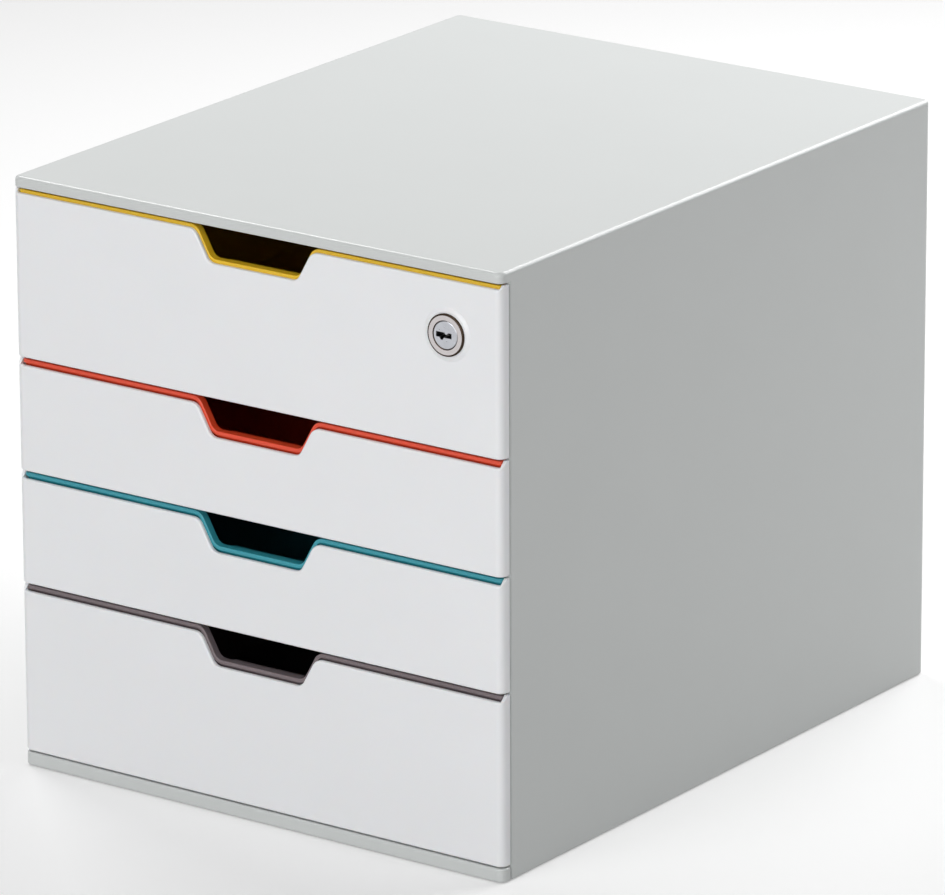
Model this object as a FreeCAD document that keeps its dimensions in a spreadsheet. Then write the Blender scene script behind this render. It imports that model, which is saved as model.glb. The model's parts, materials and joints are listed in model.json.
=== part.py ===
import FreeCAD, Part
import math
import os

import Sketcher

# Desktop drawer box with four full-width drawers, the top one lockable.
# Frame: +X to the right, -Y out of the front, +Z up, millimetres.
# The origin is on the ground under the middle of the whole object, lock flange included.

# Driving dimensions. Each one can be set by itself.
SIZES = {
    # Casing
    "case_width": 280.0,
    "case_depth": 356.0,
    "plan_radius": 4.0,
    "top_edge_radius": 2.0,
    "bottom_edge_radius": 1.0,
    "side_wall": 2.5,
    "top_wall": 3.0,
    "rear_return_width": 7.0,
    "lip_height": 5.2,
    "lip_wall": 2.5,
    "lip_edge_radius": 0.5,
    "side_edge_radius": 1.2,
    # Stack of drawers, from one cover's bottom edge to the next
    "high_pitch": 84.0,
    "low_pitch": 56.0,
    "cover_reveal": 4.0,
    "top_reveal": 2.8,
    # White covers
    "cover_depth": 5.6,
    "cover_wall": 1.9,
    "cover_edge_radius": 1.0,
    "wing_gap": 1.0,
    "front_gap": 1.2,
    "cutout_top_width": 67.0,
    "cutout_bottom_width": 50.2,
    "cutout_depth": 15.0,
    "cutout_bottom_radius": 5.0,
    "cutout_top_radius": 6.0,
    # Clips that hold a cover on its tray
    "clip_width": 9.0,
    "clip_leg": 2.0,
    "clip_hook": 1.0,
    "clip_hook_depth": 1.6,
    "clip_height": 14.0,
    "clip_play": 0.3,
    "inner_clip_place": 45.0,
    "outer_clip_inset": 28.0,
    # Coloured trays
    "cover_fit": 0.2,
    "ledge_depth": 3.8,
    "ledge_drop": 0.2,
    "ledge_thickness": 2.0,
    "ledge_edge_radius": 0.4,
    "tray_wall": 2.0,
    "tray_floor": 2.0,
    "tray_lift": 3.0,
    "rim_drop": 9.0,
    "flange_thickness": 2.0,
    "plate_gap": 0.6,
    "tub_corner_radius": 8.0,
    "tub_bottom_radius": 3.0,
    "tub_floor_radius": 1.5,
    "gusset_length": 26.0,
    "backing_rib": 4.0,
    "backing_rib_height": 2.4,
    "backing_rib_drop": 1.2,
    "rear_room": 6.0,
    # Runners, stops and lugs
    "runner_width": 5.0,
    "runner_thickness": 2.5,
    "runner_setback": 12.0,
    "runner_gap": 1.0,
    "slide_play": 0.3,
    "stop_length": 6.0,
    "stop_height": 5.0,
    "stop_play": 0.5,
    "lug_length": 12.0,
    "lug_height": 6.0,
    "drawer_travel": 250.0,
    # Floor moulding
    "base_lip_height": 6.7,
    "base_joint_gap": 0.8,
    "deck_height": 5.2,
    "deck_wall": 2.4,
    "deck_rib": 2.0,
    "deck_fit": 0.3,
    "cells_across": 5,
    "cells_along": 7,
    "catch_length": 18.0,
    "catch_height": 1.6,
    "catch_depth": 0.9,
    "catch_play": 0.2,
    "catch_spread": 110.0,
    # Back panel
    "panel_wall": 2.5,
    "panel_play": 0.1,
    "panel_fit": 0.3,
    "panel_field_border": 22.0,
    "panel_field_depth": 0.8,
    "guide_width": 3.0,
    # Feet
    "foot_radius": 7.0,
    "foot_standout": 0.5,
    "foot_recess": 1.7,
    "foot_fit": 0.1,
    "foot_edge_radius": 0.5,
    "foot_pad_radius": 11.0,
    "foot_inset": 20.0,
    # Cam lock, its depths measured back from the front plane of the covers
    "lock_from_side": 29.9,
    "lock_drop": 25.4,
    "lock_standout": 1.95,
    "collar_radius": 12.8,
    "collar_height": 0.9,
    "collar_slope": 0.8,
    "collar_slope_width": 1.7,
    "boss_radius": 11.5,
    "barrel_radius": 8.4,
    "barrel_length": 24.0,
    "barrel_hole_play": 0.25,
    "lock_flange_radius": 10.1,
    "lock_flange_chamfer": 0.5,
    "plug_head_radius": 6.65,
    "plug_head_depth": 1.5,
    "plug_radius": 5.9,
    "plug_face_recess": 0.15,
    "lock_ring_chamfer": 0.3,
    "running_fit": 0.05,
    "keyway_width": 8.6,
    "keyway_height": 2.5,
    "keyway_offset": 0.8,
    "keyway_depth": 20.0,
    "keyway_ward": 0.8,
    "keyway_lobe": 1.1,
    "keyway_lobe_width": 1.8,
    "wafer_thickness": 0.9,
    "wafer_width": 5.0,
    "wafer_length": 10.4,
    "wafer_window_length": 6.4,
    "wafer_window_width": 2.8,
    "wafer_play": 0.05,
    "wafer_pitch": 2.6,
    "wafer_first": 4.0,
    "wafer_count": 5,
    "groove_depth": 1.3,
    "groove_play": 0.15,
    "tail_width": 7.0,
    "cam_play": 0.1,
    "cam_width": 11.0,
    "cam_thickness": 2.0,
    "cam_corner_radius": 2.5,
    "cam_tip_play": 1.2,
    "screw_radius": 1.65,
    "screw_head_radius": 3.9,
    "screw_head_height": 2.2,
    "screw_reach": 4.2,
    "cross_width": 0.9,
    "cross_length": 4.4,
    "cross_depth": 1.2,
    "washer_radius": 11.5,
    "washer_thickness": 0.8,
    "nut_corner_radius": 12.1,
    "nut_thickness": 3.5,
    "strike_width": 24.0,
    "strike_thickness": 3.0,
    "strike_play": 0.5,
    "strike_clearance": 1.2,
    # One overrun for all cuts that pass through a face
    "overrun": 2.0,
}

# How far a measured edge may lie from the place it is looked for.
NEAR = 0.001

AXES = {"X": ("YZ_Plane", 1), "Y": ("XZ_Plane", -1), "Z": ("XY_Plane", 1)}


class Size:
    """A length that carries its number and the sheet formula that gives it."""

    def __init__(self, number, formula):
        self.number = number
        self.formula = formula

    def __add__(self, other):
        other = as_size(other)
        return Size(self.number + other.number, "(%s + %s)" % (self.formula, other.formula))

    def __sub__(self, other):
        other = as_size(other)
        return Size(self.number - other.number, "(%s - %s)" % (self.formula, other.formula))

    def __mul__(self, other):
        other = as_size(other)
        return Size(self.number * other.number, "(%s * %s)" % (self.formula, other.formula))

    def __truediv__(self, other):
        other = as_size(other)
        return Size(self.number / other.number, "(%s / %s)" % (self.formula, other.formula))

    def __neg__(self):
        return Size(-self.number, "(-1 * %s)" % self.formula)

    def root(self):
        return Size(math.sqrt(self.number), "sqrt(%s)" % self.formula)


def as_size(value):
    """Return the value as a Size, so that zero and whole factors can be used beside sizes."""
    if isinstance(value, Size):
        return value
    return Size(float(value), repr(float(value)))


def bind(item, name, size):
    """Bind one property of a document object to the formula of a size."""
    item.setExpression(name, as_size(size).formula)


class Sheet:
    """The spreadsheet of driving dimensions, each read as an attribute."""

    def __init__(self, document):
        self.cells = document.addObject("Spreadsheet::Sheet", "sizes")
        for row, (name, number) in enumerate(SIZES.items(), start=1):
            self.cells.set("A%d" % row, name)
            self.cells.set("B%d" % row, str(number))
            self.cells.setAlias("B%d" % row, name)
            setattr(self, name, Size(float(number), "sizes.%s" % name))
        document.recompute()


def rectangle(left, right, low, high):
    """Corners of a rectangle, in order."""
    return [(left, low), (right, low), (right, high), (left, high)]


def mirrored_pair(inner, outer, low, high):
    """Two rectangles, one on each side of the middle plane."""
    return [rectangle(inner, outer, low, high), rectangle(-outer, -inner, low, high)]


def runs_along(edge, axis):
    """True for a straight edge parallel to axis 0, 1 or 2."""
    if edge.Curve.TypeId != "Part::GeomLine":
        return False
    return abs(abs(edge.tangentAt(edge.FirstParameter)[axis]) - 1) < NEAR


def span(edge, axis):
    """The edge's lowest and highest coordinate along axis 0, 1 or 2."""
    places = [point[axis] for point in edge.discretize(5)]
    return min(places), max(places)


def lies_at(edge, axis, place):
    """True for an edge whose whole length has one coordinate along the axis."""
    low, high = span(edge, axis)
    return abs(low - place.number) < NEAR and abs(high - place.number) < NEAR


def stands_at(edge, along, across, u, v):
    """True for a straight edge along one axis at distance u from the middle plane, height v."""
    if not runs_along(edge, along):
        return False
    first, second = across
    return abs(abs(span(edge, first)[0]) - u.number) < NEAR and lies_at(edge, second, v)


class Piece:
    """One piece of the object, as a body that material is added to and cut from."""

    def __init__(self, document, name):
        self.document = document
        self.body = document.addObject("PartDesign::Body", name)
        self.body.Label = name
        document.recompute()

    def sketch(self, name, axis, place, loops, circles):
        """Draw closed loops and circles, square to an axis, at a place along its plane's normal."""
        role = AXES[axis][0]
        drawing = self.body.newObject("Sketcher::SketchObject", "%s_outline" % name)
        plane = [item for item in self.body.Origin.OriginFeatures if item.Role == role][0]
        drawing.AttachmentSupport = (plane, [""])
        drawing.MapMode = "FlatFace"
        bind(drawing, "AttachmentOffset.Base.z", place)
        joints = []
        pins = []
        for corners in loops:
            start = drawing.GeometryCount
            count = len(corners)
            points = [FreeCAD.Vector(u.number, v.number, 0) for u, v in corners]
            lines = [Part.LineSegment(points[i], points[(i + 1) % count]) for i in range(count)]
            drawing.addGeometry(lines, False)
            for i, (u, v) in enumerate(corners):
                joints.append(Sketcher.Constraint("Coincident", start + i, 2, start + (i + 1) % count, 1))
                pins.append((Sketcher.Constraint("DistanceX", -1, 1, start + i, 1, u.number), u))
                pins.append((Sketcher.Constraint("DistanceY", -1, 1, start + i, 1, v.number), v))
        for u, v, radius in circles:
            index = drawing.GeometryCount
            centre = FreeCAD.Vector(u.number, v.number, 0)
            drawing.addGeometry(Part.Circle(centre, FreeCAD.Vector(0, 0, 1), radius.number), False)
            pins.append((Sketcher.Constraint("DistanceX", -1, 1, index, 3, u.number), u))
            pins.append((Sketcher.Constraint("DistanceY", -1, 1, index, 3, v.number), v))
            pins.append((Sketcher.Constraint("Radius", index, radius.number), radius))
        if joints:
            drawing.addConstraint(joints)
        numbers = drawing.addConstraint([constraint for constraint, size in pins])
        for number, (constraint, size) in zip(numbers, pins):
            bind(drawing, "Constraints[%d]" % number, size)
        return drawing

    def volume(self):
        """The piece's volume so far."""
        if self.body.Tip is None:
            return 0
        return self.body.Shape.Volume

    def add(self, name, axis, start, end, loops=(), circles=()):
        """Add material between two places along an axis."""
        place = start if AXES[axis][1] > 0 else -end
        before = self.volume()
        drawing = self.sketch(name, axis, place, loops, circles)
        feature = self.body.newObject("PartDesign::Pad", name)
        feature.Profile = drawing
        bind(feature, "Length", end - start)
        self.settle(feature, before, 1)
        return feature

    def cut(self, name, axis, start, end, loops=(), circles=()):
        """Cut material away between two places along an axis."""
        place = end if AXES[axis][1] > 0 else -start
        before = self.volume()
        drawing = self.sketch(name, axis, place, loops, circles)
        feature = self.body.newObject("PartDesign::Pocket", name)
        feature.Profile = drawing
        bind(feature, "Length", end - start)
        self.settle(feature, before, -1)
        return feature

    def turn(self, name, corners):
        """Turn a profile of radius and depth about the body's own Z axis."""
        before = self.volume()
        drawing = self.sketch(name, "Y", as_size(0), [corners], [])
        feature = self.body.newObject("PartDesign::Revolution", name)
        feature.Profile = drawing
        feature.ReferenceAxis = (drawing, ["V_Axis"])
        self.settle(feature, before, 1)
        return feature

    def repeat(self, name, feature, axis, length, count):
        """Repeat a cut or pad along one of the body's axes."""
        before = self.volume()
        line = [item for item in self.body.Origin.OriginFeatures if item.Role == "%s_Axis" % axis][0]
        pattern = self.body.newObject("PartDesign::LinearPattern", name)
        pattern.Originals = [feature]
        pattern.Direction = (line, [""])
        bind(pattern, "Length", length)
        bind(pattern, "Occurrences", count)
        self.body.Tip = pattern
        self.settle(pattern, before, 0)
        return pattern

    def round(self, name, radius, wanted, kind="Fillet"):
        """Round or chamfer the edges that the test picks."""
        before = self.volume()
        edges = self.body.Shape.Edges
        picked = ["Edge%d" % (index + 1) for index, edge in enumerate(edges) if wanted(edge)]
        if not picked:
            raise RuntimeError("%s.%s found no edge" % (self.body.Label, name))
        tip = self.body.Tip
        feature = self.body.newObject("PartDesign::%s" % kind, name)
        feature.Base = (tip, picked)
        bind(feature, "Radius" if kind == "Fillet" else "Size", radius)
        self.settle(feature, before, 0)
        return feature

    def widen(self, chamfer, width):
        """Give a chamfer another width on the face beside its edge."""
        before = self.volume()
        chamfer.ChamferType = "Two distances"
        bind(chamfer, "Size2", width)
        self.settle(chamfer, before, -1)

    def settle(self, feature, before, direction):
        """Recompute, and stop if the solid didn't grow or shrink as the feature should make it."""
        self.document.recompute()
        change = self.volume() - before
        if feature.State != ["Up-to-date"] or change == 0 or change * direction < 0:
            raise RuntimeError("%s.%s left the solid wrong" % (self.body.Label, feature.Name))


class Layout:
    """Places that several pieces share, worked out from the driving dimensions."""

    def __init__(self, s):
        self.face = (s.lock_standout - s.case_depth) / 2
        self.rear = self.face + s.case_depth
        self.half = s.case_width / 2
        self.side_inner = self.half - s.side_wall
        self.bottom = s.foot_standout
        self.deck_top = self.bottom + s.deck_height
        self.side_front = self.face + s.cover_depth + s.front_gap
        self.panel_back = self.rear - s.side_wall - s.panel_play
        self.panel_front = self.panel_back - s.panel_wall
        self.ledge_front = self.face + s.cover_wall + s.cover_fit
        self.plate_back = self.ledge_front + s.ledge_depth
        self.plate_front = self.plate_back - s.tray_wall
        self.tray_rear = self.panel_front - s.rear_room
        self.half_tub = self.side_inner - s.runner_width - s.runner_gap
        self.half_plate = self.side_inner - s.plate_gap
        self.half_ledge = self.half - s.cover_wall - s.cover_fit
        self.runner_front = self.face + s.runner_setback
        self.cutout_top = s.cutout_top_width / 2
        self.cutout_low = s.cutout_bottom_width / 2
        first = self.bottom + s.base_lip_height + s.base_joint_gap
        pitches = [s.high_pitch, s.low_pitch, s.low_pitch, s.high_pitch]
        self.drawers = []
        low = first
        for number, pitch in zip((4, 3, 2, 1), pitches):
            reveal = s.top_reveal if number == 1 else s.cover_reveal
            self.drawers.append(Drawer(s, number, low, low + pitch - s.cover_reveal, reveal))
            low = low + pitch
        self.drawers.reverse()
        self.lip_bottom = self.drawers[0].top + s.top_reveal
        self.top = self.lip_bottom + s.lip_height
        self.ceiling = self.top - s.top_wall
        self.lock_x = self.half - s.lock_from_side
        self.lock_z = self.drawers[0].top - s.lock_drop
        self.cam_front = s.barrel_length + s.cam_play + s.cam_play
        self.cam_reach = self.ceiling - s.cam_tip_play - self.lock_z


class Drawer:
    """Heights of one drawer: its cover's bottom and top edge and what follows from them."""

    def __init__(self, s, number, low, top, reveal):
        self.number = number
        self.low = low
        self.top = top
        self.wing_top = top + reveal - s.wing_gap
        self.tub_low = low + s.tray_lift
        self.floor = self.tub_low + s.tray_floor
        self.rim = top - s.rim_drop
        self.runner_top = self.rim - s.flange_thickness - s.slide_play
        self.runner_low = self.runner_top - s.runner_thickness
        self.lug_top = self.runner_low - s.slide_play
        self.clip_low = low + s.clip_height


def front_outline(at, s, half, low, top):
    """Front view of a drawer front: a rectangle with the finger cut-out in its top edge."""
    cut = top - s.cutout_depth
    right = [(at.cutout_low, cut), (at.cutout_top, top), (half, top), (half, low)]
    left = [(-u, v) for u, v in reversed(right)]
    return right + left


def ledge_outline(at, s, top):
    """Front view of the coloured ledge: a band of even thickness under the cut-out's outline."""
    cut = top - s.cutout_depth
    slope = s.cutout_depth / (at.cutout_top - at.cutout_low)
    shift = s.ledge_thickness * ((slope * slope + 1).root() - 1) / slope
    under = top - s.ledge_thickness
    upper = [(at.cutout_low, cut), (at.cutout_top, top), (at.half_ledge, top)]
    lower = [
        (at.half_ledge, under),
        (at.cutout_top + shift, under),
        (at.cutout_low + shift, cut - s.ledge_thickness),
    ]
    right = upper + lower
    left = [(-u, v) for u, v in reversed(right)]
    return right + left, shift


def clip_outlines(s, at, low, high, play):
    """Front view of the cover's four clips, or with some play of the slots that they pass through."""
    reach = s.clip_width / 2 + play
    loops = []
    for place in (s.inner_clip_place, at.half - s.outer_clip_inset):
        loops.extend(mirrored_pair(place - reach, place + reach, low, high))
    return loops


def build_cover(document, s, at, drawer):
    """White moulded front: a thin face between two higher side wings, open behind and on top."""
    piece = Piece(document, "drawer_%d_cover" % drawer.number)
    back = at.face + s.cover_depth
    inner = at.half - s.cover_wall
    cut = drawer.top - s.cutout_depth
    above = drawer.wing_top + s.overrun
    block = rectangle(-at.half, at.half, drawer.low, drawer.wing_top)
    piece.add("block", "Y", at.face, back, [block])
    piece.round(
        "wrapped_corners", s.plan_radius,
        lambda edge: stands_at(edge, 2, (0, 1), at.half, at.face))
    right = [(at.cutout_low, cut), (at.cutout_top, drawer.top), (inner, drawer.top), (inner, above)]
    left = [(-u, v) for u, v in reversed(right)]
    piece.cut("top_edge", "Y", at.face - s.overrun, back + s.overrun, [right + left])
    piece.round(
        "cutout_bottom", s.cutout_bottom_radius,
        lambda edge: stands_at(edge, 1, (0, 2), at.cutout_low, cut))
    piece.round(
        "cutout_top", s.cutout_top_radius,
        lambda edge: stands_at(edge, 1, (0, 2), at.cutout_top, drawer.top))
    piece.round("face_edge", s.cover_edge_radius, lambda edge: lies_at(edge, 1, at.face))
    rise = drawer.wing_top - drawer.top + s.cover_edge_radius + s.overrun
    slope = [
        (at.face - s.overrun, drawer.top - s.cover_edge_radius - s.overrun),
        (at.face + rise, above),
        (at.face - s.overrun, above),
    ]
    outside = at.half + s.overrun
    piece.cut("right_wing_slope", "X", inner, outside, [slope])
    piece.cut("left_wing_slope", "X", -outside, -inner, [slope])
    front = at.face + s.cover_wall
    bevel = (s.plan_radius - s.cover_wall) * 3 / 5
    right = [(inner - bevel, front), (inner, front + bevel), (inner, back + s.overrun)]
    left = [(-u, v) for u, v in reversed(right)]
    piece.cut("hollow", "Z", drawer.low + s.cover_wall, above, [right + left])
    hook_front = at.plate_back + s.clip_play
    hook_back = hook_front + s.clip_hook_depth
    leg_top = drawer.clip_low + s.clip_leg
    root = at.face + s.cover_wall / 2
    legs = clip_outlines(s, at, drawer.clip_low, leg_top, as_size(0))
    piece.add("clip_legs", "Y", root, hook_back, legs)
    hooks = clip_outlines(s, at, drawer.clip_low, leg_top + s.clip_hook, as_size(0))
    piece.add("clip_hooks", "Y", hook_front, hook_back, hooks)
    if drawer.number == 1:
        centre = (at.lock_x, at.lock_z)
        raised = at.face - s.collar_height
        collar = (*centre, s.collar_radius)
        piece.add("lock_collar", "Y", raised, at.face + s.cover_wall / 2, circles=[collar])
        slope = piece.round("collar_slope", s.collar_slope, lambda edge: lies_at(edge, 1, raised), "Chamfer")
        piece.widen(slope, s.collar_slope_width)
        boss_end = at.plate_front - s.cover_fit
        piece.add("lock_boss", "Y", root, boss_end, circles=[(*centre, s.boss_radius)])
        hole = s.barrel_radius + s.barrel_hole_play
        piece.cut("lock_hole", "Y", raised - s.overrun, boss_end + s.overrun, circles=[(*centre, hole)])
    return piece


def build_tray(document, s, at, drawer):
    """Coloured tray: a tub with sliding flanges and a front plate that carries the ledge."""
    piece = Piece(document, "drawer_%d_tray" % drawer.number)
    rise = drawer.wing_top - s.ledge_drop
    cut = rise - s.cutout_depth
    outside = rectangle(-at.half_tub, at.half_tub, at.plate_front, at.tray_rear)
    piece.add("tub", "Z", drawer.tub_low, drawer.rim, [outside])
    inner = at.half_tub - s.tray_wall
    open_front = at.plate_front - s.overrun
    inside = rectangle(-inner, inner, open_front, at.tray_rear - s.tray_wall)
    piece.cut("tub_hollow", "Z", drawer.floor, drawer.rim + s.overrun, [inside])
    inner_radius = s.tub_corner_radius - s.tray_wall
    piece.round(
        "inner_rear_corners", inner_radius,
        lambda edge: stands_at(edge, 2, (0, 1), inner, at.tray_rear - s.tray_wall))
    piece.round(
        "rear_corners", s.tub_corner_radius,
        lambda edge: stands_at(edge, 2, (0, 1), at.half_tub, at.tray_rear))
    plate = front_outline(at, s, at.half_plate, drawer.tub_low, rise)
    piece.add("front_plate", "Y", at.plate_front, at.plate_back, [plate])
    piece.round(
        "inner_front_corners", inner_radius,
        lambda edge: stands_at(edge, 2, (0, 1), inner, at.plate_back))
    piece.round("hollow_floor", s.tub_floor_radius, lambda edge: lies_at(edge, 2, drawer.floor))
    piece.round(
        "tub_bottom", s.tub_bottom_radius,
        lambda edge: lies_at(edge, 2, drawer.tub_low) and span(edge, 1)[1] > at.plate_back.number + NEAR)

    ledge, shift = ledge_outline(at, s, rise)
    piece.add("ledge", "Y", at.ledge_front, at.plate_back, [ledge])
    corners = (
        ("cutout_bottom", s.cutout_bottom_radius, at.cutout_low, cut),
        ("cutout_top", s.cutout_top_radius, at.cutout_top, rise),
        ("ledge_bottom", s.cutout_bottom_radius + s.ledge_thickness,
         at.cutout_low + shift, cut - s.ledge_thickness),
        ("ledge_top", s.cutout_top_radius - s.ledge_thickness,
         at.cutout_top + shift, rise - s.ledge_thickness),
    )
    for name, radius, u, v in corners:
        piece.round(name, radius, lambda edge: stands_at(edge, 1, (0, 2), u, v))
    piece.round(
        "ledge_corners", s.plan_radius - s.cover_wall - s.cover_fit,
        lambda edge: stands_at(edge, 2, (0, 1), at.half_ledge, at.ledge_front))
    piece.round("ledge_edge", s.ledge_edge_radius, lambda edge: lies_at(edge, 1, at.ledge_front))

    rib_half = at.cutout_low - s.cutout_bottom_radius
    rib_top = cut - s.backing_rib_drop
    rib = rectangle(-rib_half, rib_half, rib_top - s.backing_rib_height, rib_top)
    piece.add("backing_rib", "Y", at.plate_back, at.plate_back + s.backing_rib, [rib])

    wall_middle = at.half_tub - s.tray_wall / 2
    flange_rear = at.tray_rear - s.tub_corner_radius
    flanges = mirrored_pair(wall_middle, at.half_plate, drawer.rim - s.flange_thickness, drawer.rim)
    piece.add("flanges", "Y", at.plate_back - s.tray_wall / 2, flange_rear, flanges)
    lug_front = at.runner_front + s.stop_length + s.drawer_travel + s.stop_play
    lugs = mirrored_pair(wall_middle, at.half_plate, drawer.lug_top - s.lug_height, drawer.lug_top)
    piece.add("lugs", "Y", lug_front, lug_front + s.lug_length, lugs)

    gusset = [
        (at.plate_front, drawer.rim - s.flange_thickness),
        (at.plate_back + s.gusset_length, drawer.rim - s.flange_thickness),
        (at.plate_back, drawer.top - s.ledge_thickness),
        (at.plate_front, drawer.top - s.ledge_thickness),
    ]
    piece.add("right_gusset", "X", inner, at.half_tub, [gusset])
    piece.add("left_gusset", "X", -at.half_tub, -inner, [gusset])

    slot_low = drawer.clip_low - s.clip_hook - s.clip_play
    slot_high = drawer.clip_low + s.clip_leg + s.clip_play
    slots = clip_outlines(s, at, slot_low, slot_high, s.clip_play)
    piece.cut("clip_slots", "Y", at.plate_front - s.overrun, at.plate_back + s.overrun, slots)
    if drawer.number == 1:
        hole = s.barrel_radius + s.barrel_hole_play
        circle = (at.lock_x, at.lock_z, hole)
        piece.cut("lock_hole", "Y", at.plate_front - s.overrun, at.plate_back + s.overrun, circles=[circle])
    return piece


def catch_outlines(s, at, play):
    """Side view of the catches between the floor moulding and the hood, front to rear."""
    middle = (at.face + at.rear) / 2
    height = at.bottom + s.deck_height / 2
    reach = s.catch_length / 2 + play
    loops = []
    for place in (middle - s.catch_spread, middle, middle + s.catch_spread):
        low = height - s.catch_height / 2 - play
        high = height + s.catch_height / 2 + play
        loops.append(rectangle(place - reach, place + reach, low, high))
    return loops


def build_hood(document, s, at):
    """Grey hood: top, front lip and side walls in one, with runners, stops and strike rib."""
    piece = Piece(document, "housing_hood")
    piece.add("block", "Z", at.bottom, at.top, [rectangle(-at.half, at.half, at.face, at.rear)])
    piece.round("plan_corners", s.plan_radius, lambda edge: runs_along(edge, 2))
    piece.round("top_edge", s.top_edge_radius, lambda edge: lies_at(edge, 2, at.top))
    inner_rear = at.rear - s.side_wall
    cavity = rectangle(-at.side_inner, at.side_inner, at.face + s.lip_wall, inner_rear)
    piece.cut("cavity", "Z", at.bottom - s.overrun, at.ceiling, [cavity])
    wide = at.half + s.overrun
    mouth = rectangle(-wide, wide, at.bottom - s.overrun, at.lip_bottom)
    piece.cut("mouth", "Y", at.face - s.overrun, at.side_front, [mouth])
    window_half = at.side_inner - s.rear_return_width
    window = rectangle(
        -window_half, window_half, at.bottom - s.overrun, at.ceiling - s.rear_return_width)
    piece.cut("rear_window", "Y", inner_rear - s.overrun, at.rear + s.overrun, [window])
    piece.round(
        "side_front_edges", s.side_edge_radius,
        lambda edge: stands_at(edge, 2, (0, 1), at.half, at.side_front))
    piece.round(
        "lip_edge", s.lip_edge_radius,
        lambda edge: runs_along(edge, 0) and lies_at(edge, 1, at.face) and lies_at(edge, 2, at.lip_bottom))
    piece.round(
        "bottom_edge", s.bottom_edge_radius,
        lambda edge: lies_at(edge, 2, at.bottom) and stands_at(edge, 1, (0, 2), at.half, at.bottom))

    side_middle = at.side_inner + s.side_wall / 2
    runner_inner = at.side_inner - s.runner_width
    runners = []
    stops = []
    for drawer in at.drawers:
        runners.extend(mirrored_pair(runner_inner, side_middle, drawer.runner_low, drawer.runner_top))
        stop_low = drawer.runner_low - s.stop_height
        stop_inner = runner_inner + s.plate_gap
        stops.extend(mirrored_pair(stop_inner, side_middle, stop_low, drawer.runner_low))
    piece.add("runners", "Y", at.runner_front, at.panel_front - s.rear_room, runners)
    piece.add("stops", "Y", at.runner_front, at.runner_front + s.stop_length, stops)

    strike_rear = at.face + at.cam_front - s.strike_play
    strike = rectangle(
        at.lock_x - s.strike_width / 2, at.lock_x + s.strike_width / 2,
        at.drawers[0].top + s.strike_clearance, at.ceiling + s.top_wall / 2)
    piece.add("strike_rib", "Y", strike_rear - s.strike_thickness, strike_rear, [strike])

    guide_rear = at.panel_front - s.panel_play
    guides = mirrored_pair(
        at.side_inner - s.guide_width, side_middle, guide_rear - s.panel_wall, guide_rear)
    piece.add("panel_guides", "Z", at.deck_top + s.deck_height, at.ceiling + s.top_wall / 2, guides)

    catch_depth = s.catch_depth + s.catch_play
    recesses = catch_outlines(s, at, s.catch_play)
    piece.cut("right_catches", "X", at.side_inner - s.deck_fit, at.side_inner + catch_depth, recesses)
    piece.cut("left_catches", "X", -at.side_inner - catch_depth, -at.side_inner + s.deck_fit, recesses)
    return piece


def build_base(document, s, at):
    """Grey floor moulding: front lip, ribbed deck, foot pads and side catches."""
    piece = Piece(document, "housing_base")
    lip_top = at.bottom + s.base_lip_height
    lip_back = at.face + s.cover_depth
    piece.add("front_lip", "Y", at.face, lip_back, [rectangle(-at.half, at.half, at.bottom, lip_top)])
    piece.round(
        "plan_corners", s.plan_radius,
        lambda edge: stands_at(edge, 2, (0, 1), at.half, at.face))
    piece.round("lip_edges", s.bottom_edge_radius, lambda edge: lies_at(edge, 1, at.face))
    half_deck = at.side_inner - s.deck_fit
    deck_rear = at.rear - s.side_wall - s.deck_fit
    deck_front = at.face + s.plan_radius
    piece.add("deck", "Z", at.bottom, at.deck_top, [rectangle(-half_deck, half_deck, deck_front, deck_rear)])

    deck_width = half_deck + half_deck
    across = (deck_width - s.deck_rib * (s.cells_across + 1)) / s.cells_across
    along = (deck_rear - lip_back - s.deck_rib * (s.cells_along + 1)) / s.cells_along
    first_row = lip_back + s.deck_rib
    cells = []
    for column in range(int(s.cells_across.number)):
        left = -half_deck + s.deck_rib + (across + s.deck_rib) * column
        cells.append(rectangle(left, left + across, first_row, first_row + along))
    ceiling = at.deck_top - s.deck_wall
    row = piece.cut("first_row_of_cells", "Z", at.bottom - s.overrun, ceiling, cells)
    last = (along + s.deck_rib) * (s.cells_along - 1)
    piece.repeat("cells", row, "Y", last, s.cells_along)

    pads = [(u, v, s.foot_pad_radius) for u, v in foot_places(s, at)]
    piece.add("foot_pads", "Z", at.bottom, ceiling + s.deck_wall / 2, circles=pads)
    recesses = [(u, v, s.foot_radius + s.foot_fit) for u, v in foot_places(s, at)]
    piece.cut("foot_recesses", "Z", at.bottom - s.overrun, at.bottom + s.foot_recess, circles=recesses)

    catch_end = at.side_inner + s.catch_depth
    bumps = catch_outlines(s, at, as_size(0))
    piece.add("right_catches", "X", half_deck - s.deck_rib, catch_end, bumps)
    piece.add("left_catches", "X", -catch_end, s.deck_rib - half_deck, bumps)
    return piece


def foot_places(s, at):
    """Centres of the four feet, seen from above: front left, front right, rear left, rear right."""
    reach = at.half - s.foot_inset
    front = at.face + s.foot_inset
    rear = at.rear - s.foot_inset
    return [(-reach, front), (reach, front), (-reach, rear), (reach, rear)]


def build_feet(document, s, at):
    """Round rubber feet, each seated in its recess and standing a little proud."""
    names = ("foot_front_left", "foot_front_right", "foot_rear_left", "foot_rear_right")
    pieces = []
    for name, (u, v) in zip(names, foot_places(s, at)):
        piece = Piece(document, name)
        height = s.foot_standout + s.foot_recess
        piece.add("disc", "Z", as_size(0), height, circles=[(as_size(0), as_size(0), s.foot_radius)])
        piece.round("edge", s.foot_edge_radius, lambda edge: lies_at(edge, 2, as_size(0)))
        bind(piece.body, "Placement.Base.x", u)
        bind(piece.body, "Placement.Base.y", v)
        pieces.append(piece)
    return pieces


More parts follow.
